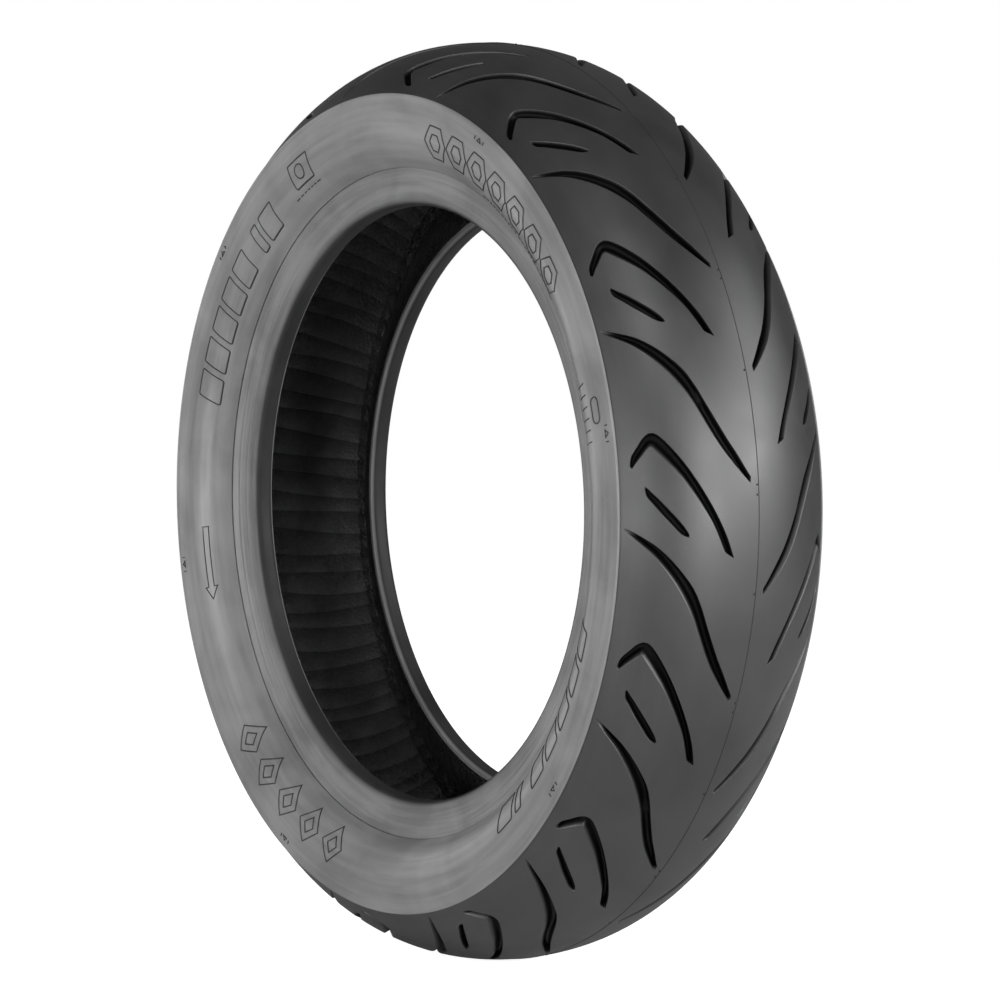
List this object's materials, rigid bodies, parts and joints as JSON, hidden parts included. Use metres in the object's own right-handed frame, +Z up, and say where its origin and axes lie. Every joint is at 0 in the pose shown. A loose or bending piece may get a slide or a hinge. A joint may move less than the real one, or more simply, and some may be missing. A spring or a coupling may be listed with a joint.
{
  "type": "motorcycle tire",
  "caption": "Wide low-profile tubeless scooter tyre with a directional tread of long curved, hooked and short slanted grooves, and plain sidewalls.",
  "frame": {"origin": "centre of the tyre, on its axis, midway between the two beads", "axes": "+Y along the tyre's axis, +Z up as it stands on its tread, +X forwards"},
  "size_m": [0.552, 0.143, 0.552],
  "materials": {
    "tread_rubber": "satin",
    "base_rubber": "matte",
    "breaker_cord": "matte",
    "ply_cord": "matte",
    "liner_rubber": "gloss",
    "sidewall_rubber": "matte",
    "wedge_rubber": "matte",
    "cushion_rubber": "satin",
    "filler_rubber": "matte",
    "wrap_rubber": "matte",
    "bead_wire": "satin"
  },
  "bodies": {
    "root": {"tread_cap": "tread_rubber", "tread_base": "base_rubber", "breaker_upper": "breaker_cord", "breaker_lower": "breaker_cord", "body_ply_outer": "ply_cord", "body_ply_inner": "ply_cord", "inner_liner": "liner_rubber", "sidewall_left": "sidewall_rubber", "sidewall_right": "sidewall_rubber", "shoulder_wedge_left": "wedge_rubber", "shoulder_wedge_right": "wedge_rubber", "rim_cushion_left": "cushion_rubber", "rim_cushion_right": "cushion_rubber", "bead_filler_left": "filler_rubber", "bead_filler_right": "filler_rubber", "bead_wrap_left": "wrap_rubber", "bead_wrap_right": "wrap_rubber", "bead_core_left": "bead_wire", "bead_core_right": "bead_wire"}
  },
  "joints": []
}
